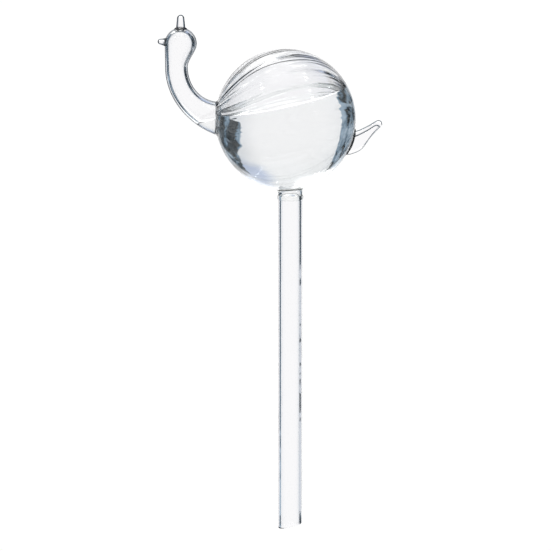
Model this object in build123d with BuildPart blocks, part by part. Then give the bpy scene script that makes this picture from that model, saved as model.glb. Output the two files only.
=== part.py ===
"""Watering globe in clear lampworked glass, in the shape of a bird on a long watering stem.

Millimetres. The origin lies on the stem's axis at the height of the tip's lowest point. +Z runs up the
stem, the head points to -X and the tail to +X. The figure is symmetric about the XZ plane, apart from
the swirled ribs inside the globe.
"""
from build123d import *
import os
from math import asin, cos, pi, radians, sin, sqrt

os.makedirs("parts", exist_ok=True)

# Stem: stock glass tube, cut off on a slant at the tip
stem_diameter = 12.0
stem_wall = 1.2
stem_length = 167.6
tip_slant = 12.5
tip_bevel = 0.35

# Weld ring between the stem and the globe's spout
stem_weld_height = 2.4
stem_weld_bulge = 0.5

# Globe, with a short spout drawn down from it to meet the stem
globe_diameter = 70.0
globe_wall = 1.25
globe_offset = -2.4
spout_height = 3.1
spout_fillet = 3.2

# Optic ribs on the inside of the globe, swirled about an axis that runs from the neck to the tail and
# fading towards both of its ends
rib_count = 16
rib_depth = 0.5
rib_twist = 84.0
rib_axis_angle = 9.0
rib_sections = 9
rib_end_angle = 5.0

# Neck: a tube that leaves the globe's side, bends upwards and is blown out to a round head
neck_diameter = 11.3
neck_wall = 1.7
neck_root_diameter = 18.2
neck_root_angle = 1.5
neck_arrival_angle = 15.0
neck_bend_radius = 26.0
neck_overlap_angle = 9.0
head_diameter = 16.0
head_offset = 2.2
head_drop = 11.6
neck_weld_width = 1.3
neck_weld_rise = 1.5

# Beak: a blunt gob of glass on the front of the head
beak_length = 3.5
beak_root_diameter = 6.2
beak_tip_diameter = 2.8
beak_tip_rounding = 1.26
beak_angle = 6.0

# Crest: a round-ended peg on top of the head, on a weld bead
crest_height = 6.4
crest_root_diameter = 4.6
crest_tip_diameter = 3.6
crest_foot_depth = 1.15
crest_weld_width = 1.5
crest_weld_rise = 1.3

# Both welds: how far their section swells beyond a straight bevel, and how deep it is sunk
weld_bulge = 0.25
weld_sink = 0.6

# Tail: a leaf pressed flat, its upper edge left round as a rim, on a weld at the globe's side
tail_root_angle = -19.5
tail_reach = 14.6
tail_rise = 11.0
tail_thickness = 2.4
tail_edge_rounding = 1.0
tail_rim_diameter = 3.2
tail_weld_length = 15.4
tail_weld_width = 6.8
tail_weld_top_width = 4.5
tail_weld_height = 1.5

# Places that follow from the sizes above
stem_radius = stem_diameter / 2
bore_radius = stem_radius - stem_wall
globe_radius = globe_diameter / 2
spout_bottom = stem_length + stem_weld_height
globe_bottom = spout_bottom + spout_height
globe_centre = Vector(globe_offset, 0, globe_bottom + globe_radius)
inner_radius = globe_radius - globe_wall
head_radius = head_diameter / 2


def on_globe(angle, side, distance=globe_radius):
    """A point beside the globe's centre, to the side (-1 or +1) and up by an angle."""
    return globe_centre + Vector(side * cos(radians(angle)), 0, sin(radians(angle))) * distance


# The neck's centre line: up to the head's root, it is one arc that ends upright
neck_root = on_globe(neck_root_angle, -1)
neck_turn = 90 - neck_arrival_angle
neck_lean = radians(neck_arrival_angle)
bend_centre = neck_root + Vector(sin(neck_lean), 0, cos(neck_lean)) * neck_bend_radius
neck_top = bend_centre + Vector(-neck_bend_radius, 0, 0)
neck_sweep = neck_turn + neck_overlap_angle
head_centre = neck_top + Vector(head_offset, 0, head_drop)


def eased(share):
    """Smooth step from 0 to 1."""
    return share * share * (3 - 2 * share)


def neck_sections(wall):
    """Planes and radii of the round sections from the head's middle down to the globe, a wall inside."""
    sections = []
    head_steps = 5
    for step in range(head_steps):
        share = eased(step / head_steps)
        centre = head_centre + Vector(-head_offset * share, 0, -head_drop * step / head_steps)
        radius = head_radius + (neck_diameter / 2 - head_radius) * share
        sections.append((Plane(centre, x_dir=(0, 1, 0), z_dir=(0, 0, -1)), radius - wall))
    bend_steps = 6
    for step in range(bend_steps + 1):
        share = step / bend_steps
        turn = radians(neck_sweep * share)
        heading = Vector(sin(turn), 0, -cos(turn))
        centre = bend_centre + Vector(-cos(turn), 0, -sin(turn)) * neck_bend_radius
        growth = (neck_root_diameter - neck_diameter) / 2 * share**3
        radius = neck_diameter / 2 + growth
        sections.append((Plane(centre, x_dir=(0, 1, 0), z_dir=heading), radius - wall))
    return sections


def rib_outline(polar, turn):
    """Points round one section of the ribbed inner wall: a narrow ridge for each rib, and a wide hollow."""
    points = []
    depth = rib_depth * sqrt(sin(polar))
    steps = len(rib_profile) * rib_count
    for step in range(steps):
        angle = 2 * pi * step / steps + turn
        reach = inner_radius * sin(polar) + depth * rib_profile[step % len(rib_profile)]
        points.append((reach * cos(angle), reach * sin(angle)))
    return points


# The room inside the globe: a ribbed form lofted through rings about the rib axis. Each rib is a ridge
# that stands in from the wall, here as shares of the depth: a hollow, a flank, the crest, the other flank.
rib_profile = (0.4, 0.1, -0.6, 0.1)
rib_axis = Vector(cos(radians(rib_axis_angle)), 0, -sin(radians(rib_axis_angle)))
with BuildPart() as globe_room:
    for section in range(rib_sections):
        share = section / (rib_sections - 1)
        polar = radians(rib_end_angle + (180 - 2 * rib_end_angle) * share)
        centre = globe_centre - rib_axis * (inner_radius * cos(polar))
        with BuildSketch(Plane(centre, x_dir=(0, 1, 0), z_dir=rib_axis)):
            with BuildLine():
                Spline(rib_outline(polar, radians(rib_twist) * share), periodic=True)
            make_face()
    loft()
    # The ribs climb from the neck over the front of the globe, so their turn is the other way round
    mirror(about=Plane.XZ, mode=Mode.REPLACE)

# The neck's outer form and its room, both running on into the globe
dome_align = (Align.CENTER, Align.CENTER, Align.MIN)
with BuildPart() as neck_form:
    for plane, radius in neck_sections(0):
        with BuildSketch(plane):
            Circle(radius)
    loft()
    with Locations(head_centre):
        Sphere(head_radius, arc_size1=0, align=dome_align)

with BuildPart() as neck_room:
    for plane, radius in neck_sections(neck_wall):
        with BuildSketch(plane):
            Circle(radius)
    loft()
    with Locations(head_centre):
        Sphere(head_radius - neck_wall, arc_size1=0, align=dome_align)

# Globe: blown shell, ribbed inside, with its spout and the opening into the neck
with BuildPart() as globe:
    with Locations(globe_centre):
        Sphere(globe_radius)
    with BuildSketch(Plane.XY.offset(spout_bottom)):
        Circle(stem_radius)
    extrude(amount=spout_height + globe_radius / 2)
    spout_joint = globe.edges().filter_by_position(Axis.Z, globe_bottom, globe_bottom + stem_radius)
    fillet(spout_joint, spout_fillet)
    add(globe_room.part, mode=Mode.SUBTRACT)
    add(neck_room.part, mode=Mode.SUBTRACT)
    with BuildSketch(Plane.XY.offset(spout_bottom)):
        Circle(bore_radius)
    extrude(amount=spout_height + globe_radius / 2, mode=Mode.SUBTRACT)
    rims = globe.edges().filter_by_position(Axis.Z, globe_bottom, globe_bottom + stem_radius)
    mouth = rims.filter_by(lambda edge: edge.is_closed).sort_by(SortBy.LENGTH)[0]
    fillet(mouth, spout_fillet + stem_wall)
globe.part.label = "globe"
export_step(globe.part, "parts/globe.step")

# Stem: the long tube that is pushed into the soil, open at its slanted tip
with BuildPart() as stem:
    with BuildSketch():
        Circle(stem_radius)
        Circle(bore_radius, mode=Mode.SUBTRACT)
    extrude(amount=stem_length)
    tip_normal = (-sin(radians(tip_slant)), 0, cos(radians(tip_slant)))
    split(bisect_by=Plane((-stem_radius, 0, 0), z_dir=tip_normal), keep=Keep.TOP)
    chamfer(stem.faces().sort_by(Axis.Z)[0].edges(), tip_bevel)
stem.part.label = "stem"
export_step(stem.part, "parts/stem.step")

# Stem weld: the slightly swollen ring where tube and spout were melted together
with BuildPart() as stem_weld:
    with BuildSketch(Plane.XZ):
        with BuildLine():
            lower = (stem_radius, stem_length)
            upper = (stem_radius, spout_bottom)
            middle = (stem_radius + stem_weld_bulge, (stem_length + spout_bottom) / 2)
            ThreePointArc(lower, middle, upper)
            Line(upper, (bore_radius, spout_bottom))
            Line((bore_radius, spout_bottom), (bore_radius, stem_length))
            Line((bore_radius, stem_length), lower)
        make_face()
    revolve(axis=Axis.Z)
stem_weld.part.label = "stem_weld"
export_step(stem_weld.part, "parts/stem_weld.step")

# Neck: one tube with the blown head at its closed end, seated on the globe
with BuildPart() as neck:
    add(neck_form.part)
    add(neck_room.part, mode=Mode.SUBTRACT)
    with Locations(globe_centre):
        Sphere(globe_radius, mode=Mode.SUBTRACT)
neck.part.label = "neck"
export_step(neck.part, "parts/neck.step")


def weld_points(ball_radius, rod_radius, width, rise):
    """Corners of a weld's section round a rod that stands on a ball, as (out from, along) the rod's axis."""
    top = (rod_radius, sqrt(ball_radius**2 - rod_radius**2) + rise)
    foot_reach = rod_radius + width
    foot = (foot_reach, sqrt(ball_radius**2 - foot_reach**2) - weld_sink)
    middle = ((top[0] + foot[0]) / 2 + weld_bulge, (top[1] + foot[1]) / 2 + weld_bulge)
    inner = rod_radius - weld_sink
    return top, middle, foot, (inner, foot[1]), (inner, top[1])


# Neck weld: a bead of glass in the corner between neck and globe, round the seam where they meet
seam_box = neck.faces().filter_by(GeomType.SPHERE).sort_by(Axis.X)[-1].bounding_box()
root_way = (seam_box.center() - globe_centre).normalized()
root_radius = seam_box.size.Z / 2
with BuildPart() as neck_weld:
    with BuildSketch(Plane(globe_centre, x_dir=(0, 1, 0), z_dir=Vector(0, 1, 0).cross(root_way))):
        with BuildLine():
            corners = weld_points(globe_radius, root_radius, neck_weld_width, neck_weld_rise)
            ThreePointArc(*corners[:3])
            Polyline(*corners[2:], corners[0])
        make_face()
    revolve(axis=Axis(globe_centre, root_way))
    with Locations(globe_centre):
        Sphere(globe_radius, mode=Mode.SUBTRACT)
    add(neck_form.part, mode=Mode.SUBTRACT)
neck_weld.part.label = "neck_weld"
export_step(neck_weld.part, "parts/neck_weld.step")

# Beak: a short cone with a rounded end, rooted on the head
beak_way = Vector(-cos(radians(beak_angle)), 0, sin(radians(beak_angle)))
beak_root_depth = head_radius - sqrt(head_radius**2 - (beak_root_diameter / 2) ** 2)
with BuildPart() as beak:
    with Locations(Plane(head_centre + beak_way * (head_radius - beak_root_depth), z_dir=beak_way)):
        Cone(
            beak_root_diameter / 2,
            beak_tip_diameter / 2,
            beak_length + beak_root_depth,
            align=(Align.CENTER, Align.CENTER, Align.MIN),
        )
    fillet(beak.edges().sort_by(Axis.X)[0], beak_tip_rounding)
    add(neck_form.part, mode=Mode.SUBTRACT)
beak.part.label = "beak"
export_step(beak.part, "parts/beak.step")

# Crest: a slightly tapered peg with a domed end
with BuildPart() as crest:
    with BuildSketch(Plane(head_centre, x_dir=(1, 0, 0), z_dir=(0, -1, 0))):
        with BuildLine():
            dome_start = head_radius + crest_height - crest_tip_diameter / 2
            shoulder = (crest_tip_diameter / 2, dome_start)
            foot = (crest_root_diameter / 2, head_radius - crest_foot_depth)
            Line((0, foot[1]), foot)
            Line(foot, shoulder)
            RadiusArc(shoulder, (0, head_radius + crest_height), -crest_tip_diameter / 2)
            Line((0, head_radius + crest_height), (0, foot[1]))
        make_face()
    revolve(axis=Axis(head_centre, (0, 0, 1)))
    add(neck_form.part, mode=Mode.SUBTRACT)
crest.part.label = "crest"
export_step(crest.part, "parts/crest.step")

# Crest weld: the bead round the crest's foot
with BuildPart() as crest_weld:
    with BuildSketch(Plane(head_centre, x_dir=(1, 0, 0), z_dir=(0, -1, 0))):
        with BuildLine():
            corners = weld_points(
                head_radius, crest_root_diameter / 2, crest_weld_width, crest_weld_rise
            )
            ThreePointArc(*corners[:3])
            Polyline(*corners[2:], corners[0])
        make_face()
    revolve(axis=Axis(head_centre, (0, 0, 1)))
    add(neck_form.part, mode=Mode.SUBTRACT)
    add(crest.part, mode=Mode.SUBTRACT)
crest_weld.part.label = "crest_weld"
export_step(crest_weld.part, "parts/crest_weld.step")

# Tail: the pressed leaf and its rim, drawn in the plane of symmetry as shares of its reach and rise
tail_root = on_globe(tail_root_angle, 1)
tail_plane = Plane(tail_root, x_dir=(1, 0, 0), z_dir=(0, -1, 0))
tail_back = [(-0.17, 0.42), (0.21, 0.55), (0.57, 0.78), (0.86, 1.0)]
tail_end = [(1.0, 0.85), (0.93, 0.67)]
tail_belly = [(0.67, 0.27), (0.35, -0.3), (0.01, -0.53), (-0.21, -0.56)]


def tail_points(shares):
    """Outline points in the tail's plane, in millimetres from the middle of its root."""
    return [(across * tail_reach, up * tail_rise) for across, up in shares]


with BuildPart() as tail:
    with BuildSketch(tail_plane):
        with BuildLine():
            leaf_edge = Spline(tail_points(tail_back + tail_end + tail_belly))
            Line(leaf_edge @ 1, leaf_edge @ 0)
        make_face()
    extrude(amount=tail_thickness / 2, both=True)
    side_faces = tail.faces().filter_by(Axis.Y)
    fillet(side_faces.edges(), tail_edge_rounding)
    with BuildLine(tail_plane):
        rim_line = Spline(tail_points(tail_back))
    with BuildSketch(Plane(rim_line @ 0, z_dir=rim_line % 0)):
        Circle(tail_rim_diameter / 2)
    sweep(path=rim_line)
    with Locations(rim_line @ 1):
        Sphere(tail_rim_diameter / 2)
    with Locations(globe_centre):
        Sphere(globe_radius, mode=Mode.SUBTRACT)
tail.part.label = "tail"
export_step(tail.part, "parts/tail.step")

# Tail weld: the pad of glass that holds the leaf's root
weld_plane = Plane(tail_root, x_dir=(0, 1, 0), z_dir=tail_root - globe_centre)
with BuildPart() as tail_weld:
    with BuildSketch(weld_plane.offset(-tail_weld_height)):
        Ellipse(tail_weld_width / 2, tail_weld_length / 2)
    with BuildSketch(weld_plane.offset(tail_weld_height)):
        Ellipse(tail_weld_top_width / 2, tail_weld_length / 2 - tail_weld_height / 2)
    loft()
    with Locations(globe_centre):
        Sphere(globe_radius, mode=Mode.SUBTRACT)
    add(tail.part, mode=Mode.SUBTRACT)
tail_weld.part.label = "tail_weld"
export_step(tail_weld.part, "parts/tail_weld.step")

for piece in (globe, stem, stem_weld, neck, neck_weld, beak, crest, crest_weld, tail, tail_weld):
    print(piece.part.label, piece.part.is_valid, len(piece.part.solids()), piece.part.volume)
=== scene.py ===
"""Looks of the watering globe: clear lampworked glass, partly filled with water, in a white studio.

Sizes are millimetres in the frame of the solids and become metres where a mesh is made. Each glass piece
is a closed fine mesh that stands for one solid. Neighbours reach into each other by a fiftieth of a
millimetre, so that no film of air shows between pieces that were melted together.
"""

from math import asin, cos, pi, radians, sin, sqrt, tan

import bpy
import numpy as np
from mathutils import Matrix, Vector


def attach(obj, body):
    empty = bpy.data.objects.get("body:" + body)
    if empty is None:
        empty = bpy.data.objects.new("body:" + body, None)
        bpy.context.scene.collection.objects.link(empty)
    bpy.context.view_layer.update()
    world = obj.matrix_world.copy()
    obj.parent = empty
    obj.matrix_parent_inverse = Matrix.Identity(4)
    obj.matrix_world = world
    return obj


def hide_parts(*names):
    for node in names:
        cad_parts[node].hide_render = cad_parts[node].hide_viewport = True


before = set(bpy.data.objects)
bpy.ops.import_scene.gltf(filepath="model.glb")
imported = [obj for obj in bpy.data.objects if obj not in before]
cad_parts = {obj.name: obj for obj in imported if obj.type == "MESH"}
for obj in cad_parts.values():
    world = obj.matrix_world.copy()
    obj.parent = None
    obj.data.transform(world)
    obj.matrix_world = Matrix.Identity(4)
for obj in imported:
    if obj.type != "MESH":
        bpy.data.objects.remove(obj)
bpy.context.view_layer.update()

MM = 0.001

# The gap between neighbouring pieces of glass. Below nought they overlap
SEAM = -0.02

# Stem and its weld
STEM_RADIUS, STEM_WALL, STEM_LENGTH, TIP_SLANT = 6.0, 1.2, 167.6, radians(12.5)
TIP_ROUND, TIP_ROUND_STEPS = 0.35, 5
STEM_WELD_HEIGHT, STEM_WELD_BULGE = 2.4, 0.5

# Globe and its spout
GLOBE_RADIUS, GLOBE_WALL = 35.0, 1.25
GLOBE_X, SPOUT_HEIGHT, SPOUT_FILLET = -2.4, 3.1, 3.2

# Ribs of its inner wall: their number, their twist, the fall of their axis and where they end beside it;
# their depth, the hollow between them, and the last share of the wall, over which they fade out
RIB_COUNT, RIB_TWIST, RIB_FALL, RIB_END = 16, radians(-84), radians(9), radians(5)
RIB_DEPTH, RIB_HOLLOW, RIB_FADE = 0.5, 0.3, 0.05
RIB_EVEN, RIB_UNEVEN, RIB_UNEVEN_WAVES = 0.85, 0.2, 5

# One rib's ridges, the main one and two fine lines beside it: height as a share of the rib's depth,
# sharpness, place in the rib's turn, and how it strays: how far, and its waves lengthways and round about
RIDGES = [
    (1.00, 1.5, pi, 0.35, 3, 2),
    (0.28, 17.0, 0.9, 0.50, 4, -1),
    (0.22, 13.0, -1.3, 0.70, 3, 1),
]

# Neck and head. The wall is thinner than the solid's, and the room has a flared mouth at the globe
NECK_RADIUS, NECK_WALL, NECK_ROOT_RADIUS = 5.65, 1.55, 9.1
NECK_ROOT_ANGLE, NECK_ARRIVAL, NECK_BEND, NECK_OVERLAP = radians(1.5), radians(15), 26.0, radians(9)
HEAD_RADIUS, HEAD_OFFSET, HEAD_DROP = 8.0, 2.2, 11.6
HEAD_ROOM_RADIUS, HEAD_ROOM_SHIFT = 6.4, -0.25
FLARE, FLARE_START, FLARE_END = 2.8, 0.886, 0.9647

# The weld between neck and globe, smaller than the solid's, and its waves: height, number and place
NECK_WELD_WIDTH, NECK_WELD_RISE = 1.0, 1.0
NECK_WELD_WAVES = [(0.16, 2, 0.6), (0.10, 5, 2)]

# Beak: a waist, and a root that flares out before the head's form cuts it
BEAK_LENGTH, BEAK_ROOT_RADIUS, BEAK_TIP_RADIUS, BEAK_ANGLE = 3.5, 3.1, 1.4, radians(6)
BEAK_SEAT, BEAK_FLARE, BEAK_WAIST = HEAD_RADIUS - 1.2, 0.7, 0.25

# Crest and its weld, whose swell runs from 0, a plain bevel, to 1, a full bead
CREST_HEIGHT, CREST_ROOT_RADIUS, CREST_TIP_RADIUS = 6.4, 2.3, 1.8
CREST_WELD_WIDTH, CREST_WELD_RISE, CREST_WELD_SWELL = 1.05, 0.5, 0.4

# Tail: thicknesses of plate, rim and edge bead, its two outlines as shares of reach and rise, and its pad.
# The plate is thinner than the solid's and has a bead at its edge, and the pad is smaller than the solid's
TAIL_ROOT_ANGLE, TAIL_REACH, TAIL_RISE = radians(-19.5), 14.6, 11.0
TAIL_PLATE, TAIL_RIM, TAIL_EDGE, TAIL_MARGIN = 1.1, 3.0, 1.8, 0.01
TAIL_BACK = [(-0.12, 0.47), (0.21, 0.55), (0.57, 0.78), (0.86, 1.0), (1.0, 0.97), (1.04, 0.85)]
TAIL_BELLY = [(-0.16, -0.56), (0.01, -0.53), (0.35, -0.3), (0.67, 0.27), (0.9, 0.6), (1.03, 0.78)]
TAIL_PAD_HALF_LENGTH, TAIL_PAD_HALF_WIDTH, TAIL_PAD_HEIGHT = 7.3, 2.9, 1.0

# Water: how far it reaches into the glass, its level at the stem's axis, its climb at the wall and its foot
WATER_SINK = 0.06
WATER_LEVEL, WATER_TILT = 216.6, radians(12.1)
WATER_CLIMB, WATER_CLIMB_WIDTH = 1.9, 3.0
WATER_FOOT, WATER_FOOT_DOME = 168.3, 3.0

# The neck's water reaches this far into the globe's
NECK_WATER_OVERLAP = 0.03

# Places that follow from them
BORE = STEM_RADIUS - STEM_WALL
SPOUT_BOTTOM = STEM_LENGTH + STEM_WELD_HEIGHT
CENTRE = np.array([GLOBE_X, 0, SPOUT_BOTTOM + SPOUT_HEIGHT + GLOBE_RADIUS])
GLOBE_SEAT = GLOBE_RADIUS + SEAM
INNER_RADIUS = GLOBE_RADIUS - GLOBE_WALL
MOUTH_FILLET = SPOUT_FILLET + STEM_WALL
RIB_AXIS = np.array([cos(RIB_FALL), 0, -sin(RIB_FALL)])
RIB_UP = np.array([sin(RIB_FALL), 0, cos(RIB_FALL)])
ACROSS = np.array([0, 1, 0])
FORWARD = np.array([1, 0, 0])

# Fineness of the meshes. A neck's wall has steps over the dome, the side of the head and the bend
COLUMNS = 540
ROWS = 360
OUTER_ROWS = 200
BEND_STEPS, SPOUT_STEPS, STEM_STEPS, STEM_WELD_ROWS = 12, 3, 24, 13
NECK_STEPS, NECK_ROWS = (60, 120, 420), 200
NECK_PLUG_STEPS, NECK_PLUG_COLUMNS = (16, 24, 300), 144
NECK_WELD_COLUMNS, NECK_WELD_ROWS, NECK_WELD_BOW_ROWS, NECK_WELD_WALL_ROWS = 240, 10, 18, 900
HEAD_FORM_STEPS, HEAD_FORM_COLUMNS = (60, 60, 60), 240
ROD_COLUMNS, ROD_TIP_STEPS = 48, 8
BEAK_SEAT_STEPS, BEAK_STEPS, CREST_SEAT_STEPS, CREST_STEPS = 8, 28, 6, 12
CREST_WELD_COLUMNS, CREST_WELD_STEPS, CREST_WELD_SEAT_ROWS = 96, 12, 5
TAIL_COLUMNS, TAIL_ROWS = 96, 90
TAIL_PAD_COLUMNS, TAIL_PAD_STEPS = 64, 20
WATER_SPOUT_STEPS, WATER_DOME_ROWS = 8, 14
BALL_COLUMNS, BALL_ROWS = 128, 65
FLOOR_COLUMNS = 96

# The water's edge is looked for from this share of the wall on, in so many rows
WATER_SEARCH_START, WATER_SEARCH_ROWS = 0.05, 1600

# Rows of its surface: the even ones from the middle outwards, and the fine ones where it climbs the wall
EVEN_ROWS, EVEN_END, EVEN_POWER = 20, 0.75, 0.8
CLIMB_ROWS, CLIMB_START, CLIMB_END = 34, 0.2, 0.0015

# How sharp a mesh's edge is that stays an edge when the rest is shaded smooth
WATER_CREASE, GLOBE_CREASE, CREASE = radians(20), radians(35), radians(40)
TAIL_CREASE, NECK_WELD_CREASE = radians(50), radians(60)


# ---------------------------------------------------------------- meshes

def unit(vectors):
    """Vectors over their lengths, along the last axis."""
    return vectors / np.linalg.norm(vectors, axis=-1, keepdims=True)


def eased(share):
    """Smooth step from 0 to 1."""
    return share * share * (3 - 2 * share)


def new_object(name, points, faces):
    """A mesh object in millimetres, with its faces turned outwards."""
    mesh = bpy.data.meshes.new(name)
    mesh.from_pydata((np.asarray(points) * MM).tolist(), [], faces)
    mesh.validate()
    if signed_volume(mesh) < 0:
        mesh.flip_normals()
    obj = bpy.data.objects.new(name, mesh)
    bpy.context.scene.collection.objects.link(obj)
    return obj


def piece(name, points, faces, material, nodes=(), crease=CREASE):
    """A shown piece of the object: a closed mesh that rides on the glass and stands for nodes."""
    obj = new_object(name, points, faces)
    obj.data.shade_smooth()
    obj.data.set_sharp_from_angle(angle=crease)
    dress(obj, material, nodes)
    return obj


def dress(obj, material, nodes):
    """Gives a piece its material and slot, and ties it to the frame."""
    obj.data.materials.clear()
    obj.data.materials.append(material)
    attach(obj, "root")
    if nodes:
        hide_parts(*nodes)


def signed_volume(mesh):
    """Volume that the mesh encloses, negative when its faces look inwards."""
    mesh.calc_loop_triangles()
    corners = np.empty(len(mesh.vertices) * 3)
    mesh.vertices.foreach_get("co", corners)
    corners = corners.reshape(-1, 3)
    triangles = np.empty(len(mesh.loop_triangles) * 3, int)
    mesh.loop_triangles.foreach_get("vertices", triangles)
    first, second, third = (corners[triangles.reshape(-1, 3)[:, corner]] for corner in range(3))
    return float(np.einsum("ij,ij->i", first, np.cross(second, third)).sum() / 6)


def cut(obj, tool, operation, crease):
    """Applies a boolean with tool to a piece, and removes tool."""
    modifier = obj.modifiers.new("cut", "BOOLEAN")
    modifier.object = tool
    modifier.operation = operation
    modifier.solver = "EXACT"
    bpy.context.view_layer.update()
    evaluated = obj.evaluated_get(bpy.context.evaluated_depsgraph_get())
    mesh = bpy.data.meshes.new_from_object(evaluated)
    obj.modifiers.clear()
    mesh.name = obj.data.name
    obj.data = mesh
    mesh.shade_smooth()
    mesh.set_sharp_from_angle(angle=crease)
    bpy.data.objects.remove(tool)


def grid_faces(columns, rows, closed_rows):
    """Quads of a grid whose columns go all the way round, and whose rows do too where they are closed."""
    faces = []
    for column in range(columns):
        here, there = column * rows, (column + 1) % columns * rows
        for row in range(rows if closed_rows else rows - 1):
            below = (row + 1) % rows
            faces.append((here + row, here + below, there + below, there + row))
    return faces


def ring_mesh(grid):
    """Points and faces of a tube that is closed both ways, such as a wall with an inside and an outside."""
    columns, rows, _ = grid.shape
    return grid.reshape(-1, 3), grid_faces(columns, rows, True)


def ball_mesh(grid):
    """Points and faces of a form closed at two poles, which are the first and last point of every column."""
    columns, rows, _ = grid.shape
    rows -= 2
    points = np.vstack([grid[:, 1:-1].reshape(-1, 3), grid[0, 0], grid[0, -1]])
    faces = grid_faces(columns, rows, False)
    first, last = len(points) - 2, len(points) - 1
    for column in range(columns):
        here, there = column * rows, (column + 1) % columns * rows
        faces.append((first, here, there))
        faces.append((last, there + rows - 1, here + rows - 1))
    return points, faces


def gather_row(grid, row):
    """Moves one row of a grid to its middle, where it is a pole."""
    grid[:, row] = grid[:, row].mean(0)


def around(count):
    """Angles all the way round, as a column for each."""
    return (np.arange(count) * 2 * pi / count)[:, None]


def spun(profile, angles, axis_point, axis):
    """Points of a profile turned about an axis. The profile lists radii and heights along the axis."""
    radii, heights = np.array(profile)[None].transpose(2, 0, 1)
    axis = unit(np.array(axis, float))
    side = unit(np.cross(axis, ACROSS))
    other = np.cross(axis, side)
    turned = np.cos(angles)[..., None] * side + np.sin(angles)[..., None] * other
    return radii[..., None] * turned + heights[..., None] * axis + np.array(axis_point)


def upright(radii, heights, angles):
    """Points about the stem's axis, with angle 0 towards +X."""
    radii, heights = np.broadcast_arrays(radii + 0 * angles, heights + 0 * angles)
    return np.stack([radii * np.cos(angles), radii * np.sin(angles), heights], -1)


# ---------------------------------------------------------------- the globe's walls

def ribbed(points, strength):
    """Points of the plain inner sphere, pushed in and out by the swirled ribs and a slight waviness."""
    way = unit(points - CENTRE)
    polar = np.arccos(np.clip(-way @ RIB_AXIS, -1, 1))
    share = np.clip((polar - RIB_END) / (pi - 2 * RIB_END), 0, 1)
    angle = np.arctan2(way @ RIB_UP, way @ ACROSS)
    untwisted = angle - RIB_TWIST * share
    ridge = 0
    for height, sharpness, place, stray, lengthways, round_about in RIDGES:
        turn = RIB_COUNT * untwisted + place + stray * np.sin(lengthways * polar + round_about * angle)
        ridge = ridge + height * np.exp(-sharpness * (1 - np.cos(turn)))
    uneven = RIB_EVEN + RIB_UNEVEN * np.sin(RIB_UNEVEN_WAVES * untwisted + 1)
    rib = RIB_DEPTH * np.sqrt(np.sin(polar)) * (RIB_HOLLOW - ridge) * uneven
    return points + way * (rib * strength)[..., None]


def section_of(radius, angles):
    """Middle and radius of the sphere's section at each angle about the stem, which is off its axis."""
    return GLOBE_X * np.cos(angles), np.sqrt(radius**2 - (GLOBE_X * np.sin(angles)) ** 2)


def wall(radius, tube, fillet, angles, share):
    """One wall of the globe at each share of the way from its top to the bend above the spout."""
    middle, section = section_of(radius, angles)
    top = np.arcsin(-middle / section)
    bottom = pi - np.arcsin((tube + fillet - middle) / (section + fillet))
    turn = top + (bottom - top) * share
    return upright(middle + section * np.sin(turn), CENTRE[2] + section * np.cos(turn), angles)


def bend(radius, tube, fillet, angles):
    """The rounded corner between that wall and the spout's tube, from the sphere down to the tube."""
    middle, section = section_of(radius, angles)
    height = CENTRE[2] - np.sqrt((section + fillet) ** 2 - (tube + fillet - middle) ** 2)
    start = np.arctan2(CENTRE[2] - height, tube + fillet - middle)
    turn = start * (1 - np.arange(1, BEND_STEPS + 1) / BEND_STEPS)
    return upright(tube + fillet - fillet * np.cos(turn), height + fillet * np.sin(turn), angles)


def ribbed_wall(radius, tube, fillet, angles, share):
    """The ribbed inner wall: the ribs fade out over the last stretch above the mouth's bend."""
    return ribbed(wall(radius, tube, fillet, angles, share), eased(np.clip((1 - share) / RIB_FADE, 0, 1)))


def straight(tube, low, angles, corner, steps):
    """The spout's straight wall from the last row of the corner down to low."""
    share = np.arange(1, steps + 1) / steps
    heights = corner[:, -1:, 2] + (low - corner[:, -1:, 2]) * share
    return upright(tube + 0 * heights, heights, angles)


def globe_mesh():
    """The blown shell with both walls and its spout, still without the opening into the neck."""
    angles = around(COLUMNS)
    low = SPOUT_BOTTOM + SEAM / 2
    outer_share = np.linspace(0, 1, OUTER_ROWS)[None, :]
    outer = wall(GLOBE_RADIUS, STEM_RADIUS, SPOUT_FILLET, angles, outer_share)
    outer_bend = bend(GLOBE_RADIUS, STEM_RADIUS, SPOUT_FILLET, angles)
    outer_tube = straight(STEM_RADIUS, low, angles, outer_bend, SPOUT_STEPS)
    inner = ribbed_wall(INNER_RADIUS, BORE, MOUTH_FILLET, angles, np.linspace(0, 1, ROWS)[None, :])
    inner_bend = bend(INNER_RADIUS, BORE, MOUTH_FILLET, angles)
    inner_tube = straight(BORE, low, angles, inner_bend, SPOUT_STEPS)
    inside = np.concatenate([inner, inner_bend, inner_tube], 1)[:, ::-1]
    gather_row(inside, -1)
    gather_row(outer, 0)
    return ball_mesh(np.concatenate([outer, outer_bend, outer_tube, inside], 1))


# ---------------------------------------------------------------- the neck's walls

def on_globe(angle, side):
    """A point of the globe's outline in the plane of symmetry, up by an angle, to the side -1 or +1."""
    return CENTRE + GLOBE_RADIUS * np.array([side * cos(angle), 0, sin(angle)])


NECK_ROOT = on_globe(NECK_ROOT_ANGLE, -1)
BEND_CENTRE = NECK_ROOT + NECK_BEND * np.array([sin(NECK_ARRIVAL), 0, cos(NECK_ARRIVAL)])
NECK_TOP = BEND_CENTRE - NECK_BEND * FORWARD
HEAD = NECK_TOP + np.array([HEAD_OFFSET, 0, HEAD_DROP])
NECK_SWEEP = pi / 2 - NECK_ARRIVAL + NECK_OVERLAP


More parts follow.
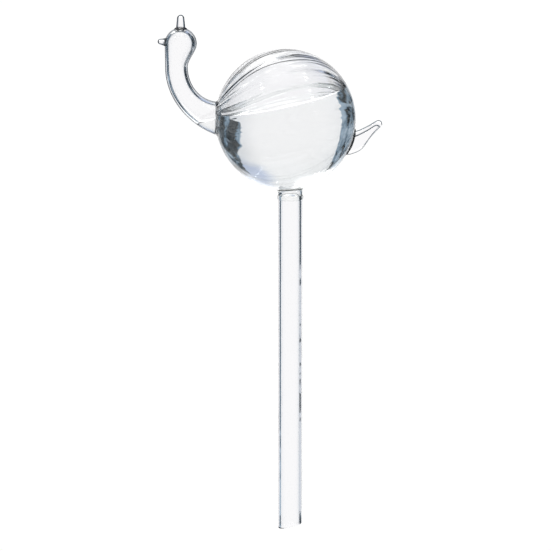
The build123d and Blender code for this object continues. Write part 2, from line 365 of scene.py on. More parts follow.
def neck_wall(inset, angles, steps):
    """One wall of the neck, inset from its outside, from the top of the head to inside the globe."""
    dome_steps, head_steps, bend_steps = steps
    is_room = inset > NECK_WALL / 2
    head_radius, shift = (HEAD_ROOM_RADIUS, HEAD_ROOM_SHIFT) if is_room else (HEAD_RADIUS - inset, 0)
    rows = []
    for step in range(dome_steps):
        turn = pi / 2 * step / dome_steps
        rows.append((HEAD + (shift, 0, head_radius * cos(turn)), head_radius * sin(turn), FORWARD))
    for step in range(head_steps):
        share = step / head_steps
        lean = eased(share)
        middle = HEAD - (HEAD_OFFSET * lean - shift * (1 - lean), 0, HEAD_DROP * share)
        rows.append((middle, head_radius + (NECK_RADIUS - inset - head_radius) * lean, FORWARD))
    for step in range(bend_steps + 1):
        share = step / bend_steps
        turn = NECK_SWEEP * share
        out = np.array([cos(turn), 0, sin(turn)])
        radius = NECK_RADIUS + (NECK_ROOT_RADIUS - NECK_RADIUS) * share**3 - inset
        if is_room:
            flare = min(max((share - FLARE_START) / (FLARE_END - FLARE_START), 0), 1)
            radius += FLARE * (1 - sqrt(1 - flare**2))
        rows.append((BEND_CENTRE - NECK_BEND * out, radius, out))
    rings = []
    for middle, radius, out in rows:
        rings.append(middle + radius * (np.cos(angles) * out + np.sin(angles) * ACROSS))
    return np.stack(rings, 1)


def ended_on_globe(grid, keep):
    """The columns of a grid cut where they enter the globe, with keep rows each."""
    ended = np.empty((len(grid), keep, 3))
    for index, column in enumerate(grid):
        reach = np.linalg.norm(column - CENTRE, axis=1)
        inside = int(np.argmax(reach < GLOBE_SEAT))
        part = (reach[inside - 1] - GLOBE_SEAT) / (reach[inside - 1] - reach[inside])
        at = np.linspace(0, 1, keep) * (inside - 1 + part)
        for axis in range(3):
            ended[index, :, axis] = np.interp(at, np.arange(len(column)), column[:, axis])
    return ended


def closed_below(side):
    """A mesh of a neck's wall that is closed by a pole at its lower end."""
    foot = np.broadcast_to(side[:, -1:].mean(0, keepdims=True), (len(side), 1, 3))
    return ball_mesh(np.concatenate([side, foot], 1))


def neck_plug_mesh(grow):
    """The neck's room as a solid that reaches into the globe, for cutting its opening and for its water."""
    return closed_below(neck_wall(NECK_WALL - grow, around(NECK_PLUG_COLUMNS), NECK_PLUG_STEPS))


# ---------------------------------------------------------------- materials

GLASS_REFRACTION, WATER_REFRACTION = 1.47, 1.333
CLEAR, SLIGHTLY_GREY, SLIGHTLY_GREEN = (0.997, 0.998, 0.998), (0.977, 0.980, 0.983), (0.980, 0.985, 0.976)

# Painted shade that darkens the glass's outlines, where it is seen at grazing angles: how far past the start
# of the darkening, and to which colour
EDGE_PAINTED_SHADES = [(0.12, (0.16, 0.18, 0.20)), (0.32, (0.02, 0.03, 0.035))]


def transmitting(name, slot, colour, refraction):
    """A smooth clear material, its node tree and its shader."""
    material = bpy.data.materials.new(name)
    material["slot"] = slot
    material.use_nodes = True
    shader = material.node_tree.nodes["Principled BSDF"]
    shader.inputs["Base Color"].default_value = (*colour, 1)
    shader.inputs["Roughness"].default_value = 0.0
    shader.inputs["IOR"].default_value = refraction
    shader.inputs["Transmission Weight"].default_value = 1.0
    return material, material.node_tree, shader


def glass_material(name, clear, edge=None):
    """Clear borosilicate glass, slightly wavy; edge is where the painted shade on its outline starts."""
    material, tree, shader = transmitting(name, "clear_glass", clear, GLASS_REFRACTION)
    # Painted shade: a Layer Weight ramp turns the base colour dark towards the outlines, in place of the
    # dark surroundings that the glass would refract there
    if edge:
        facing = tree.nodes.new("ShaderNodeLayerWeight")
        facing.inputs["Blend"].default_value = 0.5
        tint = tree.nodes.new("ShaderNodeValToRGB")
        tint.color_ramp.elements.new(0.7)
        stops = [(0, clear), *EDGE_PAINTED_SHADES]
        for element, (past_edge, colour) in zip(tint.color_ramp.elements, stops):
            element.position = edge + past_edge
            element.color = (*colour, 1)
        tree.links.new(facing.outputs["Facing"], tint.inputs["Fac"])
        tree.links.new(tint.outputs["Color"], shader.inputs["Base Color"])
    place = tree.nodes.new("ShaderNodeTexCoord")
    waves = tree.nodes.new("ShaderNodeTexNoise")
    waves.inputs["Scale"].default_value = 90
    waves.inputs["Detail"].default_value = 1.5
    bump = tree.nodes.new("ShaderNodeBump")
    bump.inputs["Strength"].default_value = 0.06
    bump.inputs["Distance"].default_value = MM
    tree.links.new(place.outputs["Object"], waves.inputs["Vector"])
    tree.links.new(waves.outputs["Fac"], bump.inputs["Height"])
    tree.links.new(bump.outputs["Normal"], shader.inputs["Normal"])
    return material


# ---------------------------------------------------------------- pieces of glass

def make_globe(glass):
    """The blown shell, with its opening into the neck cut by the neck's own room."""
    globe = piece("globe_glass", *globe_mesh(), glass, ["globe"])
    cut(globe, new_object("neck_plug", *neck_plug_mesh(0)), "DIFFERENCE", GLOBE_CREASE)


def make_stem(glass):
    """The stock tube, with its slanted tip fire-polished and its top cut square under the weld."""
    angles = around(COLUMNS // 2)
    top = STEM_LENGTH - SEAM / 2
    turn = np.arange(TIP_ROUND_STEPS + 1) / TIP_ROUND_STEPS * pi / 2
    lift = TIP_ROUND - TIP_ROUND * np.sin(turn)
    outside = STEM_RADIUS - TIP_ROUND + TIP_ROUND * np.cos(turn)
    inside = BORE + TIP_ROUND - TIP_ROUND * np.cos(turn)
    radii = np.concatenate([outside, inside[::-1]])[None, :]
    lifts = np.concatenate([lift, lift[::-1]])[None, :]
    tip = upright(radii, (radii * np.cos(angles) + STEM_RADIUS) * tan(TIP_SLANT) + lifts, angles)
    share = np.linspace(0, 1, STEM_STEPS + 1)[1:][None, :]
    inner_side = tip[:, -1:, 2] + (top - tip[:, -1:, 2]) * share
    outer_side = (tip[:, :1, 2] + (top - tip[:, :1, 2]) * share)[:, ::-1]
    inner = upright(BORE + 0 * inner_side, inner_side, angles)
    outer = upright(STEM_RADIUS + 0 * outer_side, outer_side, angles)
    piece("stem_glass", *ring_mesh(np.concatenate([tip, inner, outer], 1)), glass, ["stem"])


def make_stem_weld(glass):
    """The swollen ring between tube and spout."""
    low, high = STEM_LENGTH + SEAM / 2, SPOUT_BOTTOM - SEAM / 2
    turn = np.linspace(0, pi, STEM_WELD_ROWS)
    heights = (low + high) / 2 - (high - low) / 2 * np.cos(turn)
    radii = np.concatenate([STEM_RADIUS + STEM_WELD_BULGE * np.sin(turn), BORE - 0 * turn])[None, :]
    heights = np.concatenate([heights, heights[::-1]])[None, :]
    ring = upright(radii, heights, around(COLUMNS // 2))
    piece("stem_weld_glass", *ring_mesh(ring), glass, ["stem_weld"])


def make_neck(glass):
    """The hollow neck with its head, ending on the globe."""
    angles = around(COLUMNS // 3)
    outer = ended_on_globe(neck_wall(0, angles, NECK_STEPS), NECK_ROWS)
    inner = ended_on_globe(neck_wall(NECK_WALL, angles, NECK_STEPS), NECK_ROWS)
    piece("neck_glass", *ball_mesh(np.concatenate([outer, inner[:, ::-1]], 1)), glass, ["neck"])


def make_neck_weld(glass):
    """The fillet of glass where the neck stands on the globe, uneven as a hand-made weld is."""
    angles = around(NECK_WELD_COLUMNS)
    neck_side = ended_on_globe(neck_wall(-SEAM, angles, NECK_STEPS), NECK_WELD_WALL_ROWS)
    ring = neck_side[:, -1]
    uneven = 1
    for height, number, place in NECK_WELD_WAVES:
        uneven = uneven + height * np.sin(number * angles[:, 0] + place)
    shares = np.linspace(0, 1, NECK_WELD_ROWS)

    # Outwards over the globe, from the seam's ring along great circles
    ways = unit(ring - CENTRE)
    axis = unit(ways.mean(0))
    outward = unit(ways - (ways @ axis)[:, None] * axis)
    tangent = unit(outward - np.sum(outward * ways, 1, keepdims=True) * ways)
    turn = (NECK_WELD_WIDTH * uneven / GLOBE_SEAT)[:, None, None] * shares[:, None]
    base = CENTRE + GLOBE_SEAT * (np.cos(turn) * ways[:, None] + np.sin(turn) * tangent[:, None])

    # Up the neck's own wall from the same ring
    lengths = np.linalg.norm(np.diff(neck_side[:, ::-1], axis=1), axis=2)
    way_back = np.concatenate([np.zeros((len(ring), 1)), np.cumsum(lengths, 1)], 1)
    side = np.empty((len(ring), NECK_WELD_ROWS, 3))
    for index in range(len(ring)):
        at = shares * NECK_WELD_RISE * uneven[index]
        for k in range(3):
            side[index, :, k] = np.interp(at, way_back[index], neck_side[index, ::-1, k])

    # The hollow fillet between the ends of both
    bow = np.linspace(0, pi / 2, NECK_WELD_BOW_ROWS)[1:-1]
    ring = ring[:, None]
    to_foot, to_top = base[:, -1:] - ring, side[:, -1:] - ring
    fillet = ring + to_foot * (1 - np.sin(bow))[:, None] + to_top * (1 - np.cos(bow))[:, None]
    weld = np.concatenate([base, fillet, side[:, :0:-1]], 1)
    piece("neck_weld_glass", *ring_mesh(weld), glass, ["neck_weld"], NECK_WELD_CREASE)


def cap_profile(seat, radius, steps):
    """Profile of the part of a ball that a rod of a radius stands on, from the axis outwards."""
    edge = asin(radius / seat)
    return [(seat * sin(edge * k / steps), seat * cos(edge * k / steps)) for k in range(steps + 1)]


def tip_profile(radius, height):
    """Profile of a rod's round end, whose middle is at a height, from the outside to the axis."""
    turns = [pi / 2 * k / ROD_TIP_STEPS for k in range(ROD_TIP_STEPS + 1)]
    return [(radius * cos(turn), height + radius * sin(turn)) for turn in turns]


def rod_mesh(profile, axis):
    """A closed mesh of a rod with this profile, which stands on the head along an axis."""
    grid = spun(profile, around(ROD_COLUMNS), HEAD, axis)
    gather_row(grid, 0)
    gather_row(grid, -1)
    return ball_mesh(grid)


def make_beak(glass):
    """The blunt gob on the front of the head, hollowed at its root to sit on it."""
    base = cap_profile(BEAK_SEAT, BEAK_ROOT_RADIUS + BEAK_FLARE, BEAK_SEAT_STEPS)
    foot = base[-1][1]
    tip_middle = HEAD_RADIUS + BEAK_LENGTH - BEAK_TIP_RADIUS
    side = []
    for share in np.arange(1, BEAK_STEPS) / BEAK_STEPS:
        waist = BEAK_WAIST * sin(pi * share) - BEAK_FLARE * (1 - share) ** 3
        radius = BEAK_ROOT_RADIUS + (BEAK_TIP_RADIUS - BEAK_ROOT_RADIUS) * share - waist
        side.append((radius, foot + (tip_middle - foot) * share))
    profile = base + side + tip_profile(BEAK_TIP_RADIUS, tip_middle)
    mesh = rod_mesh(profile, (-cos(BEAK_ANGLE), 0, sin(BEAK_ANGLE)))
    beak = piece("beak_glass", *mesh, glass, ["beak"])
    head_form = closed_below(neck_wall(-SEAM, around(HEAD_FORM_COLUMNS), HEAD_FORM_STEPS))
    cut(beak, new_object("head_form", *head_form), "DIFFERENCE", CREASE)


def make_crest(glass):
    """The round-ended peg on top of the head."""
    base = cap_profile(HEAD_RADIUS + SEAM, CREST_ROOT_RADIUS, CREST_SEAT_STEPS)
    foot = base[-1][1]
    tip_middle = HEAD_RADIUS + CREST_HEIGHT - CREST_TIP_RADIUS
    side = []
    for share in np.arange(1, CREST_STEPS) / CREST_STEPS:
        radius = CREST_ROOT_RADIUS + (CREST_TIP_RADIUS - CREST_ROOT_RADIUS) * share
        side.append((radius, foot + (tip_middle - foot) * share))
    mesh = rod_mesh(base + side + tip_profile(CREST_TIP_RADIUS, tip_middle), (0, 0, 1))
    piece("crest_glass", *mesh, glass, ["crest"])


def make_crest_weld(glass):
    """The bead round the crest's foot, a little fuller than a plain bevel."""
    seat = HEAD_RADIUS + SEAM
    start = asin((CREST_ROOT_RADIUS + SEAM) / seat)
    end = asin((CREST_ROOT_RADIUS + CREST_WELD_WIDTH) / seat)
    turns = np.linspace(start, end, CREST_WELD_SEAT_ROWS)
    base = [(seat * sin(turn), seat * cos(turn)) for turn in turns]
    top = (CREST_ROOT_RADIUS + SEAM, seat * cos(start) + CREST_WELD_RISE)
    foot = base[-1]
    outside = []
    for share in np.arange(1, CREST_WELD_STEPS) / CREST_WELD_STEPS:
        out = (1 - share) + (cos(pi / 2 * share) - (1 - share)) * CREST_WELD_SWELL
        up = share + (sin(pi / 2 * share) - share) * CREST_WELD_SWELL
        outside.append((top[0] + (foot[0] - top[0]) * out, foot[1] + (top[1] - foot[1]) * up))
    grid = spun(base + outside + [top], around(CREST_WELD_COLUMNS), HEAD, (0, 0, 1))
    piece("crest_weld_glass", *ring_mesh(grid), glass, ["crest_weld"])


def smooth_curve(points, count):
    """A number of points along a Catmull-Rom curve through the given ones."""
    points = np.array(points, float)
    knots = np.vstack([2 * points[0] - points[1], points, 2 * points[-1] - points[-2]])
    found = []
    for at in np.linspace(0, len(points) - 1, count):
        start = min(int(at), len(points) - 2)
        t = at - start
        a, b, c, d = knots[start : start + 4]
        bent = (2 * a - 5 * b + 4 * c - d) * t * t + (3 * b - a - 3 * c + d) * t**3
        found.append(0.5 * (2 * b + (c - a) * t + bent))
    return np.array(found)


def leaf_half_thickness(from_rim, length):
    """Half the leaf's thickness at a distance from its upper edge: round rim, thin plate, round bead."""
    rim, bead = TAIL_RIM / 2, TAIL_EDGE / 2
    left = length - from_rim
    round_rim = np.sqrt(np.clip(rim**2 - (from_rim - rim) ** 2, 0, None))
    round_bead = np.sqrt(np.clip(bead**2 - (left - bead) ** 2, 0, None))
    on_plate = (from_rim > rim) & (left > bead)
    return np.maximum(np.maximum(round_rim, round_bead), np.where(on_plate, TAIL_PLATE / 2, 0))


def make_tail(glass):
    """The pressed leaf: a thick round upper edge, a thinner plate under it and a blunt tip."""
    root = on_globe(TAIL_ROOT_ANGLE, 1)
    scale = np.array([TAIL_REACH, TAIL_RISE])
    angles = around(TAIL_COLUMNS)[:, 0]
    along = 0.5 - 0.5 * np.cos(angles)
    sign = np.where(angles < pi, 1.0, -1.0)
    back, belly = (smooth_curve(outline, TAIL_ROWS) * scale for outline in (TAIL_BACK, TAIL_BELLY))
    rows = []
    for high, low in zip(back, belly):
        length = np.linalg.norm(high - low)
        half = leaf_half_thickness(along * length, length) * sign
        half[0] = half[TAIL_COLUMNS // 2] = 0
        flat = high + (low - high) * along[:, None]
        rows.append(np.stack([flat[:, 0], half, flat[:, 1]], -1) + root)
    grid = np.stack(rows, 1)

    # What lies inside the globe, or outside it by less than a margin, is laid on its surface. The margin
    # grows from row to row. The first row is always laid there
    reach = np.linalg.norm(grid - CENTRE, axis=-1, keepdims=True)
    laid = CENTRE + (grid - CENTRE) / reach * GLOBE_SEAT
    margin = TAIL_MARGIN * np.arange(TAIL_ROWS)[None, :, None] / TAIL_ROWS
    grid = np.where(reach < GLOBE_SEAT + margin, laid, grid)
    grid[:, 0] = laid[:, 0]
    start = CENTRE + unit(grid[:, :1].mean(0, keepdims=True) - CENTRE) * GLOBE_SEAT
    end = grid[:, -1:].mean(0, keepdims=True)
    start, end = (np.broadcast_to(pole, (TAIL_COLUMNS, 1, 3)) for pole in (start, end))
    mesh = ball_mesh(np.concatenate([start, grid, end], 1))
    tail = piece("tail_glass", *mesh, glass, ["tail"], TAIL_CREASE)
    cut(tail, new_object("tail_pad", *tail_pad(-SEAM)), "DIFFERENCE", TAIL_CREASE)


def tail_pad(inset):
    """The low pad of glass at the leaf's root, drawn in by inset where another piece is fitted to it."""
    root_way = unit(on_globe(TAIL_ROOT_ANGLE, 1) - CENTRE)
    lengthways = np.array([-root_way[2], 0, root_way[0]]) * (TAIL_PAD_HALF_LENGTH - inset)
    crossways = ACROSS * (TAIL_PAD_HALF_WIDTH - inset)
    angles = around(TAIL_PAD_COLUMNS)
    spread = (np.cos(angles) * lengthways + np.sin(angles) * crossways) / GLOBE_SEAT
    rows = []
    for step in range(TAIL_PAD_STEPS + 1):
        rows.append(CENTRE + (GLOBE_SEAT - 2 * inset) * unit(root_way + spread * step / TAIL_PAD_STEPS))
    for step in range(1, TAIL_PAD_STEPS + 1):
        share = 1 - step / TAIL_PAD_STEPS
        lift = (TAIL_PAD_HEIGHT - inset) * sqrt(1 - share**2)
        rows.append(CENTRE + (GLOBE_SEAT + lift) * unit(root_way + spread * share))
    grid = np.stack(rows, 1)
    gather_row(grid, 0)
    gather_row(grid, -1)
    return ball_mesh(grid)


def make_tail_weld(glass):
    """The pad that the leaf stands on."""
    piece("tail_weld_glass", *tail_pad(0), glass, ["tail_weld"], TAIL_CREASE)


# ---------------------------------------------------------------- water

def water_level(along):
    """Height of the tilted water surface at places along X, away from the walls."""
    return WATER_LEVEL + tan(WATER_TILT) * along


def make_water(water):
    """The water in the globe: a tilted level that climbs the wall a little, down to a dome in the bore."""
    angles = around(COLUMNS)
    form = (INNER_RADIUS + WATER_SINK, BORE + WATER_SINK, MOUTH_FILLET - WATER_SINK, angles)

    # Where each column of the wall meets the climbing edge of the surface
    share = np.linspace(WATER_SEARCH_START, 1, WATER_SEARCH_ROWS)[None, :]
    fine = ribbed_wall(*form, share)
    over = fine[..., 2] - (WATER_LEVEL + WATER_CLIMB + tan(WATER_TILT) * fine[..., 0])
    row = np.argmax(over < 0, axis=1)
    column = np.arange(len(fine))
    part = over[column, row - 1] / (over[column, row - 1] - over[column, row])
    start = share[0, row - 1] + part * (share[0, row] - share[0, row - 1])
    side = ribbed_wall(*form, start[:, None] + (1 - start[:, None]) * np.linspace(0, 1, ROWS)[None, :])
    corner = bend(*form)
    spout = straight(BORE + WATER_SINK, WATER_FOOT, angles, corner, WATER_SPOUT_STEPS)

    # The surface, from its middle to that edge
    edge = side[:, :1]
    middle = np.array([GLOBE_X, 0, water_level(GLOBE_X)])
    even_rows = np.linspace(0, EVEN_END, EVEN_ROWS) ** EVEN_POWER
    climb_rows = 1 - np.geomspace(CLIMB_START, CLIMB_END, CLIMB_ROWS)
    reach = np.sort(np.concatenate([even_rows, climb_rows]))[None, :, None]
    surface = middle + (edge - middle) * reach
    from_edge = np.linalg.norm(edge - surface, axis=-1)
    surface[..., 2] = water_level(surface[..., 0]) + WATER_CLIMB * np.exp(-from_edge / WATER_CLIMB_WIDTH)
    gather_row(surface, 0)

    inward = np.cos(np.linspace(0, pi / 2, WATER_DOME_ROWS))[1:]
    dome_heights = WATER_FOOT + WATER_FOOT_DOME * np.sqrt(1 - inward**2)
    dome = upright((BORE + WATER_SINK) * inward[None, :], dome_heights[None, :], angles)
    gather_row(dome, -1)
    grid = np.concatenate([surface, side, corner, spout, dome], 1)
    piece("water", *ball_mesh(grid), water, (), WATER_CREASE)


def box_below_level():
    """A large box below the tilted level at the neck's root."""
    size = 60.0
    corners = np.array([(x, y, z) for x in (-1, 1) for y in (-1, 1) for z in (-1, 0)], float) * size
    tilt = np.array([
        [cos(WATER_TILT), 0, sin(WATER_TILT)],
        [0, 1, 0],
        [-sin(WATER_TILT), 0, cos(WATER_TILT)],
    ])
    faces = [(0, 1, 3, 2), (4, 6, 7, 5), (0, 4, 5, 1), (2, 3, 7, 6), (0, 2, 6, 4), (1, 5, 7, 3)]
    return corners @ tilt + (NECK_ROOT[0], 0, water_level(NECK_ROOT[0])), faces


def make_neck_water(water):
    """The wedge of the same water that lies in the root of the neck."""
    wedge = piece("neck_water", *neck_plug_mesh(WATER_SINK), water)
    cut(wedge, new_object("below_level", *box_below_level()), "INTERSECT", CREASE)
    turn = np.linspace(0, pi, BALL_ROWS)[None, :]
    radius = INNER_RADIUS + WATER_SINK - NECK_WATER_OVERLAP
    ball = upright(radius * np.sin(turn), radius * np.cos(turn), around(BALL_COLUMNS)) + CENTRE
    cut(wedge, new_object("globe_room", *ball_mesh(ball)), "DIFFERENCE", CREASE)
    dress(wedge, water, ())


# ---------------------------------------------------------------- studio

# The studio's light depends only on its direction in the room, given in degrees by azimuth, from behind
# the object to the right, and by elevation. A span of four ends says where a place begins, where it is
# whole, where it stops being whole, and where it has ended. A span of two is one soft edge, from nothing
# to whole. EVERYWHERE sets no bounds.
EVERYWHERE = ()
SURROUNDINGS_EDGE = (70, 130)
SURROUNDINGS_AHEAD, SURROUNDINGS_BEHIND = (0.62, 0.67, 0.74), (0.90, 0.91, 0.92)
WINDOW_SPANS, WINDOW_EDGE = ((-40, -30, 30, 40), (-55, -45, 38, 60)), (-4, 40)
WINDOW_COLOURS = [(0, (0.975, 0.968, 0.978)), (1, (0.86, 0.87, 0.88))]

# Places laid over both in this order: azimuth, elevation and colour. Those of the first list lie on the
# window alone, at the strength that stands last: its shaded right, a brighter middle, and a glow below it
WINDOW_PLACES = [
    ((10, 28), EVERYWHERE, (0.76, 0.77, 0.80), 0.9),
    ((-20, -12, 12, 20), (-32, -27, -15, -13), (1.25, 1.25, 1.25), 1.0),
    (EVERYWHERE, (-41, -37, -23, -19), (1.6, 1.6, 1.6), 1.0),
]

# Below the window, the floor, overhead, a bluish haze on the right and a glare on the left
ROOM_PLACES = [
    (EVERYWHERE, (-42, -52), (0.92, 0.92, 0.93)),
    (EVERYWHERE, (-62, -70), (1.7, 1.7, 1.7)),
    (EVERYWHERE, (60, 70), (1.2, 1.2, 1.2)),
    ((4, 18, 70, 90), (16, 26, 48, 62), (0.53, 0.60, 0.76)),
    ((-50, -38, -12, -5), (26, 36, 62, 72), (1.7, 1.7, 1.7)),
]

# Dark screens on both sides, with wavy outlines and slate-coloured patches. The one on the right comes
# nearer to the middle over a span of elevation, and has slots that let the room's light through
SCREEN_SPANS = ((30, 31, 62, 76), (-44, -34, 30, 36))
ROUGH_NOISE, BROAD_NOISE = (6.0, 4.0, 0.7), (3.1, 2.0, 1.0)
SCREEN_WAVES, SCREEN_HEIGHT_WAVES = 7.0, 22.0
SLATE = (0.42, 0.52, 0.62)
SCREEN_COLOURS = [
    (0.40, (0.002, 0.004, 0.004)),
    (0.53, (0.008, 0.015, 0.018)),
    (0.565, (0.16, 0.24, 0.32)),
    (0.66, SLATE),
]
LIGHTER_LEFT = 0.09
NEARER, NEARER_SPAN = 8.0, (-6.4, -5.4, 5, 18)
RIGHT_SLOTS = [
    ((-9.6, -9.35, -8.8, -8.5), 0.9),
    ((-10.5, -10.3, -10.0, -9.8), 0.9),
    ((-15.0, -13.5, -11.0, -10.7), 0.95),
]
LEFT_PATCH, LEFT_PATCH_STRENGTH = (-15.5, -14.5, -11.8, -11.2), 0.92
ON_THE_RIGHT, ON_THE_LEFT = (-1, 1), (1, -1)

# Soft boxes: the way to each, its half width in degrees and how many times brighter it is than white
SOFT_BOXES = [
    ((0.44, -0.04, 0.90), 2.0, 30.0),
    ((-0.59, -0.33, 0.80), 2.2, 25.0),
    ((0.75, -0.55, 0.65), 2.0, 25.0),
]
SOFT_BOX_EDGE = 1.15

# What stands behind the object, the floor under it, and the camera
BACKGROUND = 1.02
FLOOR_RADIUS, FLOOR_HEIGHT = 130.0, -40.0
CAMERA_PLACE, CAMERA_DOWN, CAMERA_LENS = (-7.4, -1800, 403.7), radians(8.668), 237.2
GAMMA = 0.8


class Shading:
    """Short ways to add nodes to a tree. Each gives the socket of its result."""

    def __init__(self, tree):
        self.add = tree.nodes.new
        self.link = tree.links.new
        self.direction = self.add("ShaderNodeTexCoord").outputs["Generated"]

    def feed(self, socket, value):
        """Links a socket to value, or sets it where value is a number or a colour."""
        if isinstance(value, bpy.types.NodeSocket):
            self.link(value, socket)
        else:
            socket.default_value = (*value, 1) if isinstance(value, tuple) else value

    def maths(self, operation, first, second=0.0):
        """The result of one mathematical operation."""
        node = self.add("ShaderNodeMath")
        node.operation = operation
        self.feed(node.inputs[0], first)
        self.feed(node.inputs[1], second)
        return node.outputs[0]

    def plus(self, first, second):
        """The sum of two values."""
        return self.maths("ADD", first, second)

    def times(self, first, second):
        """The product of two values."""
        return self.maths("MULTIPLY", first, second)

    def waves(self, noise, height):
        """Noise about nought instead of a half, times a height."""
        return self.times(self.maths("SUBTRACT", noise, 0.5), height)

    def span(self, value, ends):
        """1 where the value is within a span and 0 outside it, with soft ends."""
        if len(ends) == 4:
            return self.times(self.span(value, ends[:2]), self.span(value, ends[:1:-1]))
        node = self.add("ShaderNodeMapRange")
        node.interpolation_type = "SMOOTHSTEP"
        node.inputs["From Min"].default_value, node.inputs["From Max"].default_value = ends
        self.link(value, node.inputs["Value"])
        return node.outputs["Result"]

    def laid(self, colour, azimuth, elevation, place, share):
        """A colour with a place's own colour laid over it, times a share."""
        for value, ends in ((azimuth, place[0]), (elevation, place[1])):
            if ends:
                share = self.times(self.span(value, ends), share)
        return self.mixed(share, colour, place[2])

    def mixed(self, share, first, second):
        """The first colour where share is 0 and the second where it is 1."""
        node = self.add("ShaderNodeMix")
        node.data_type = "RGBA"
        self.link(share, node.inputs["Factor"])
        self.feed(node.inputs["A"], first)
        self.feed(node.inputs["B"], second)
        return node.outputs["Result"]

    def noise(self, scale, detail, squash):
        """Noise over the directions, drawn out upwards where squash is less than 1."""
        squeeze = self.add("ShaderNodeMapping")
        squeeze.inputs["Scale"].default_value = (1.0, 1.0, squash)
        self.link(self.direction, squeeze.inputs["Vector"])
        node = self.add("ShaderNodeTexNoise")
        node.inputs["Scale"].default_value = scale
        node.inputs["Detail"].default_value = detail
        self.link(squeeze.outputs["Vector"], node.inputs["Vector"])
        return node.outputs["Fac"]

    def ramp(self, value, stops):
        """The colour of a ramp with these stops at a value."""
        node = self.add("ShaderNodeValToRGB")
        elements = node.color_ramp.elements
        node.color_ramp.interpolation = "EASE"
        while len(elements) < len(stops):
            elements.new(0.5)
        for element, (at, colour) in zip(elements, stops):
            element.position = at
            element.color = (*colour, 1)
        self.link(value, node.inputs["Fac"])
        return node.outputs["Color"]


def room_light(shading, azimuth, elevation):
    """The surroundings, the white window behind the object and the lighter and darker places on them."""
    side = shading.maths("ABSOLUTE", azimuth)
    colour = shading.mixed(shading.span(side, SURROUNDINGS_EDGE), SURROUNDINGS_AHEAD, SURROUNDINGS_BEHIND)
    window = shading.times(shading.span(azimuth, WINDOW_SPANS[0]), shading.span(elevation, WINDOW_SPANS[1]))
    window_colour = shading.ramp(shading.span(elevation, WINDOW_EDGE), WINDOW_COLOURS)
    colour = shading.mixed(window, colour, window_colour)
    for *place, strength in WINDOW_PLACES:
        colour = shading.laid(colour, azimuth, elevation, place, shading.times(window, strength))
    for place in ROOM_PLACES:
        colour = shading.laid(colour, azimuth, elevation, place, 1.0)
    return colour


def screened(shading, azimuth, elevation, colour):
    """The room's light with the dark screens in front of it."""
    rough, broad = shading.noise(*ROUGH_NOISE), shading.noise(*BROAD_NOISE)
    right, left = shading.span(azimuth, ON_THE_RIGHT), shading.span(azimuth, ON_THE_LEFT)
    tint = shading.ramp(shading.plus(rough, shading.times(left, LIGHTER_LEFT)), SCREEN_COLOURS)
    left_patch = shading.times(shading.span(elevation, LEFT_PATCH), left)
    tint = shading.mixed(shading.times(left_patch, LEFT_PATCH_STRENGTH), tint, SLATE)

    nearer = shading.times(shading.times(shading.span(elevation, NEARER_SPAN), right), NEARER)
    side = shading.plus(shading.maths("ABSOLUTE", azimuth), shading.waves(rough, SCREEN_WAVES))
    side = shading.plus(side, nearer)
    height = shading.plus(elevation, shading.waves(broad, SCREEN_HEIGHT_WAVES))
    screen = shading.times(shading.span(side, SCREEN_SPANS[0]), shading.span(height, SCREEN_SPANS[1]))
    slots = 0.0
    for ends, openness in RIGHT_SLOTS:
        slots = shading.maths("MAXIMUM", slots, shading.times(shading.span(elevation, ends), openness))
    closed = shading.maths("SUBTRACT", 1.0, shading.times(slots, right))
    return shading.mixed(shading.times(screen, closed), colour, tint)


def with_soft_boxes(shading, colour):
    """The light with the small round soft boxes in front of everything."""
    for direction, half_width, power in SOFT_BOXES:
        dot = shading.add("ShaderNodeVectorMath")
        dot.operation = "DOT_PRODUCT"
        shading.link(shading.direction, dot.inputs[0])
        dot.inputs[1].default_value = Vector(direction).normalized()
        edge = (cos(radians(half_width * SOFT_BOX_EDGE)), cos(radians(half_width)))
        colour = shading.mixed(shading.span(dot.outputs["Value"], edge), colour, (power, power, power))
    return colour


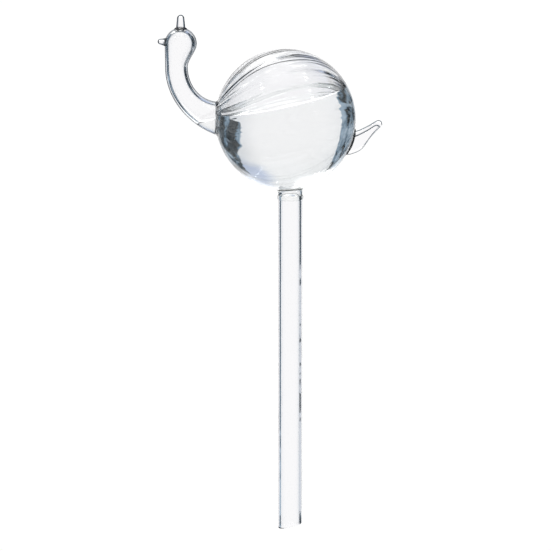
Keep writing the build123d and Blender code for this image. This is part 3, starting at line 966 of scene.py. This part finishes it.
def studio():
    """The world's light: the studio, which only glass and water show, before a plain white background."""
    world = bpy.data.worlds.new("studio")
    bpy.context.scene.world = world
    world.use_nodes = True
    world.node_tree.nodes.clear()
    shading = Shading(world.node_tree)
    split = shading.add("ShaderNodeSeparateXYZ")
    shading.link(shading.direction, split.inputs[0])
    x, y, z = split.outputs
    azimuth = shading.times(shading.maths("ARCTAN2", x, y), 180 / pi)
    elevation = shading.times(shading.maths("ARCSINE", z), 180 / pi)
    colour = room_light(shading, azimuth, elevation)
    colour = screened(shading, azimuth, elevation, colour)
    colour = with_soft_boxes(shading, colour)

    light = shading.add("ShaderNodeBackground")
    shading.link(colour, light.inputs["Color"])
    seen = shading.add("ShaderNodeBackground")
    seen.inputs["Color"].default_value = (1, 1, 1, 1)
    seen.inputs["Strength"].default_value = BACKGROUND
    blend = shading.add("ShaderNodeMixShader")
    shading.link(shading.add("ShaderNodeLightPath").outputs["Is Camera Ray"], blend.inputs["Fac"])
    shading.link(light.outputs[0], blend.inputs[1])
    shading.link(seen.outputs[0], blend.inputs[2])
    shading.link(blend.outputs[0], shading.add("ShaderNodeOutputWorld").inputs["Surface"])


def floor_disc():
    """The pale plain floor below the tip."""
    material = bpy.data.materials.new("floor_white")
    material.use_nodes = True
    shader = material.node_tree.nodes["Principled BSDF"]
    shader.inputs["Base Color"].default_value = (0.9, 0.9, 0.9, 1)
    shader.inputs["Roughness"].default_value = 1.0
    shader.inputs["Emission Color"].default_value = (1, 1, 1, 1)
    shader.inputs["Emission Strength"].default_value = 0.35
    rim = upright(np.array([[FLOOR_RADIUS]]), np.array([[FLOOR_HEIGHT]]), around(FLOOR_COLUMNS))[:, 0] * MM
    mesh = bpy.data.meshes.new("floor")
    mesh.from_pydata(rim.tolist(), [], [tuple(range(len(rim)))])
    mesh.materials.append(material)
    obj = bpy.data.objects.new("floor", mesh)
    bpy.context.scene.collection.objects.link(obj)


def camera():
    """The photograph's view: a long lens 1.8 m away that looks a little down."""
    data = bpy.data.cameras.new("camera")
    data.sensor_width = 36
    data.lens = CAMERA_LENS
    data.clip_end = 50
    viewer = bpy.data.objects.new("camera", data)
    viewer.location = Vector(CAMERA_PLACE) * MM
    viewer.rotation_euler = (pi / 2 - CAMERA_DOWN, 0, 0)
    bpy.context.scene.collection.objects.link(viewer)
    bpy.context.scene.camera = viewer


blown = glass_material("blown_glass", SLIGHTLY_GREY)
tube = glass_material("tube_glass", CLEAR)
# The drawn and the thick glass carry painted shade on their outlines
drawn = glass_material("drawn_glass_painted_edge_shade", CLEAR, 0.5)
thick = glass_material("thick_glass_painted_edge_shade", CLEAR, 0.15)
water, _, _ = transmitting("clear_water", "water", SLIGHTLY_GREEN, WATER_REFRACTION)

make_globe(blown)
make_stem(tube)
make_stem_weld(tube)
make_neck(drawn)
make_beak(thick)
make_crest(thick)
make_crest_weld(drawn)
make_neck_weld(blown)
make_tail(thick)
make_tail_weld(drawn)
make_water(water)
make_neck_water(water)

studio()
floor_disc()
camera()
scene = bpy.context.scene
scene.view_settings.view_transform = "Standard"
scene.view_settings.gamma = GAMMA
scene.cycles.max_bounces = 32
scene.cycles.transmission_bounces = 32
scene.cycles.transparent_max_bounces = 16
